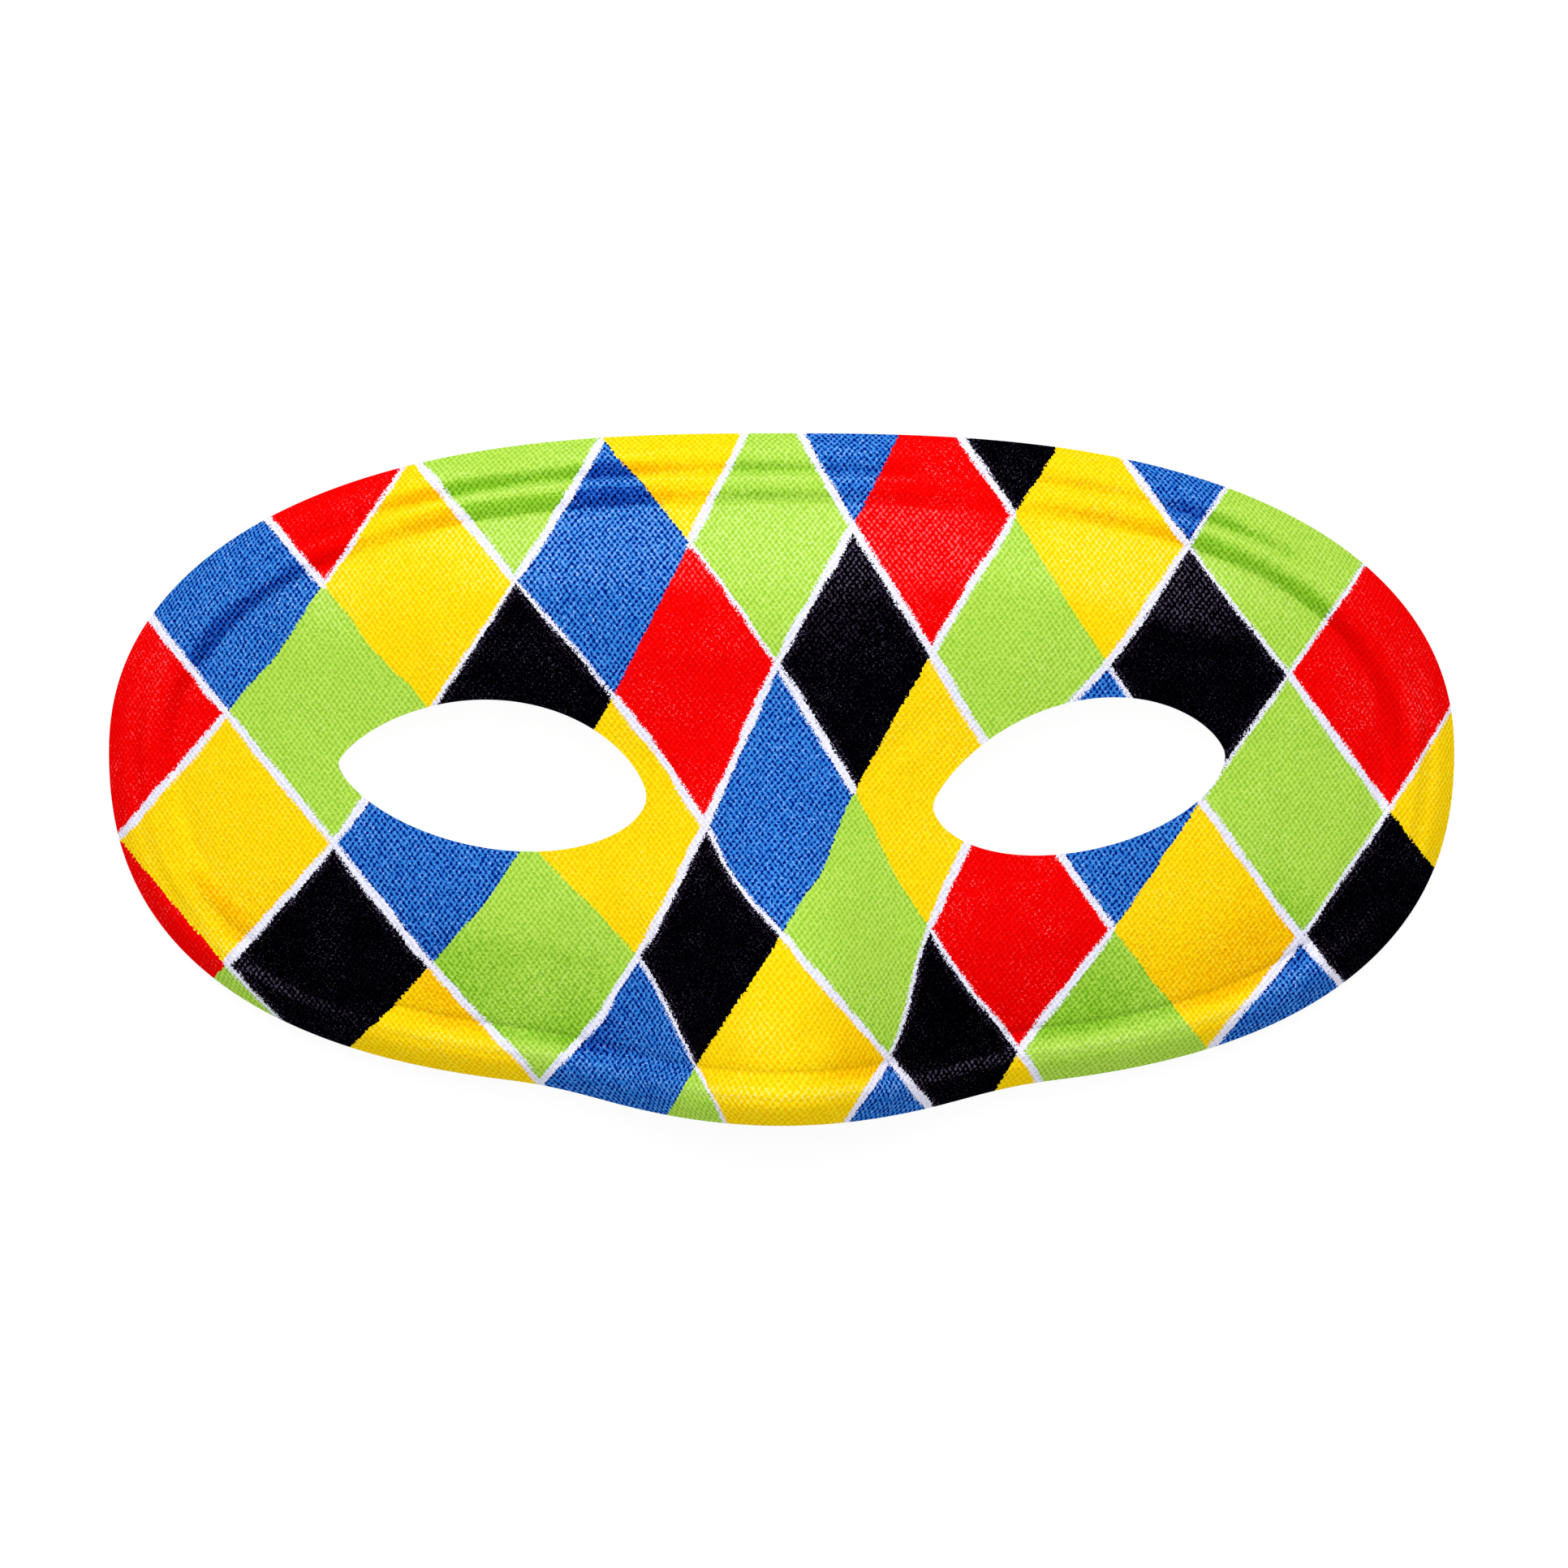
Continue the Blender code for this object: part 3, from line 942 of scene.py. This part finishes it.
def plain_backing(cloth):
    """The unprinted back: matted white fibres."""
    finish = Finish("plain_backing", 0.85)
    place = finish.node("ShaderNodeTexCoord", output=3)
    fibres = finish.noise(place, 0.0008, detail=4.0, roughness=0.7)
    cloudy = finish.noise(place, 0.012)
    tone = finish.mix(fibres.ease(0.35, 0.65) * 0.25 + cloudy * 0.15, cloth.backing, MATTED_BACKING)
    finish.set("Base Color", tone)
    finish.bump(fibres, 0.00015, 0.5)
    return finish.material


def woven_tape(tape):
    """Ribbed white tape."""
    finish = Finish("woven_tape", 0.8)
    place = finish.node("ShaderNodeTexCoord", output=3)
    x, y, _ = finish.parts(place)
    ribs = (y * (2 * math.pi / tape.rib)).maths("SINE")
    threads = (x * (2 * math.pi / tape.rib)).maths("SINE")
    weave = ribs * threads
    tone = finish.mix(weave.ease(-0.2, -0.9) * 0.5, tape.tape, TAPE_HOLES)
    finish.set("Base Color", tone)
    finish.bump(weave * 0.5 + 0.5, 0.0001, 0.8)
    return finish.material


def pale_floor(stage):
    """A translucent white surface that is lit from below."""
    finish = Finish("pale_floor", 0.9)
    place = finish.node("ShaderNodeTexCoord", output=3)
    grain = finish.noise(place, 0.004)
    finish.set("Base Color", finish.mix(grain * 0.05, stage.floor, FLOOR_GRAIN))
    finish.set("Emission Color", (1.0, 1.0, 1.0, 1.0))
    finish.set("Emission Strength", stage.glow)
    return finish.material


# Operators.


class MASK_OT_cloth(bpy.types.Operator):
    """Replace the CAD shell with the printed cloth shell"""

    bl_idname = "mask.cloth"
    bl_label = "Printed shell"

    def execute(self, context):
        cloth = context.scene.mask_cloth
        piece = merged_copy("mask_shell", "mask_cloth")
        keep_front(piece)
        refine(piece, cloth.refinement)
        emboss(piece, cloth)
        chart_print(piece, cloth)
        lay_out_cloth(piece)
        piece.data.materials.append(printed_cloth(cloth))
        piece.data.materials.append(plain_backing(cloth))
        thicken(piece, cloth.wall)
        settle_on_floor(piece)
        bpy.ops.object.shade_smooth_by_angle(angle=SHELL_CREASE)
        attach(piece, "root")
        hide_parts("mask_shell")
        return {"FINISHED"}


class MASK_OT_loops(bpy.types.Operator):
    """Replace the CAD loops with woven tape"""

    bl_idname = "mask.loops"
    bl_label = "Tape loops"

    def execute(self, context):
        tape = context.scene.mask_tape
        finish = woven_tape(tape)
        for side in ("left", "right"):
            piece = merged_copy(f"elastic_loop_{side}", f"tape_loop_{side}")
            rounded = piece.modifiers.new("rounding", "BEVEL")
            rounded.width = tape.rounding
            rounded.segments = 3
            rounded.limit_method = "ANGLE"
            bpy.ops.object.modifier_apply(modifier=rounded.name)
            bpy.ops.object.shade_smooth_by_angle(angle=TAPE_CREASE)
            piece.data.materials.append(finish)
            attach(piece, "root")
            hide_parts(f"elastic_loop_{side}")
        return {"FINISHED"}


class MASK_OT_stage(bpy.types.Operator):
    """Add the floor, the light and the camera"""

    bl_idname = "mask.stage"
    bl_label = "Stage"

    def execute(self, context):
        stage = context.scene.mask_stage
        bpy.ops.object.select_all(action="DESELECT")
        bpy.ops.mesh.primitive_plane_add(size=stage.floor_size)
        floor = context.active_object
        floor.name = "floor"
        floor.data.materials.append(pale_floor(stage))
        for name, place, width, power in LIGHTS:
            self.add_light(name, place, width, getattr(stage, power))
        world = bpy.data.worlds.new("studio")
        world.use_nodes = True
        world.node_tree.nodes["Background"].inputs["Color"].default_value = (1.0, 1.0, 1.0, 1.0)
        world.node_tree.nodes["Background"].inputs["Strength"].default_value = stage.sky
        context.scene.world = world
        context.scene.view_settings.view_transform = "Standard"
        self.add_camera(context)
        return {"FINISHED"}

    def add_light(self, name, place, width, power):
        bpy.ops.object.light_add(type="AREA", location=place)
        light = bpy.context.active_object
        light.name = name
        light.data.size = width
        light.data.energy = power
        light.rotation_euler = (-Vector(place)).to_track_quat("-Z", "Y").to_euler()

    def add_camera(self, context):
        bpy.ops.object.camera_add(location=(*VIEW_MIDDLE, VIEW_DISTANCE), rotation=(0.0, 0.0, 0.0))
        camera = context.active_object
        camera.name = "camera"
        camera.data.sensor_width = SENSOR
        camera.data.lens = SENSOR * (VIEW_DISTANCE - VIEW_LEVEL) / VIEW_WIDTH
        camera.data.clip_end = 10.0
        context.scene.camera = camera


class MASK_PT_sidebar(bpy.types.Panel):
    bl_label = "Harlequin eye mask"
    bl_space_type = "VIEW_3D"
    bl_region_type = "UI"
    bl_category = "Mask"

    def draw(self, context):
        layout = self.layout
        for operator, settings in PARTS:
            group = getattr(context.scene, settings)
            box = layout.box()
            box.operator(operator.bl_idname)
            for name in group.__annotations__:
                box.prop(group, name)


PARTS = (
    (MASK_OT_cloth, "mask_cloth"),
    (MASK_OT_loops, "mask_tape"),
    (MASK_OT_stage, "mask_stage"),
)
SETTINGS = {"mask_cloth": ClothSettings, "mask_tape": TapeSettings, "mask_stage": StageSettings}
CLASSES = (*SETTINGS.values(), *(operator for operator, _ in PARTS), MASK_PT_sidebar)


def register():
    for item in CLASSES:
        bpy.utils.register_class(item)
    for name, group in SETTINGS.items():
        setattr(bpy.types.Scene, name, bpy.props.PointerProperty(type=group))


def unregister():
    for name in SETTINGS:
        delattr(bpy.types.Scene, name)
    for item in reversed(CLASSES):
        bpy.utils.unregister_class(item)


def main():
    register()
    bpy.ops.mask.cloth()
    bpy.ops.mask.loops()
    bpy.ops.mask.stage()


if __name__ == "__main__":
    main()
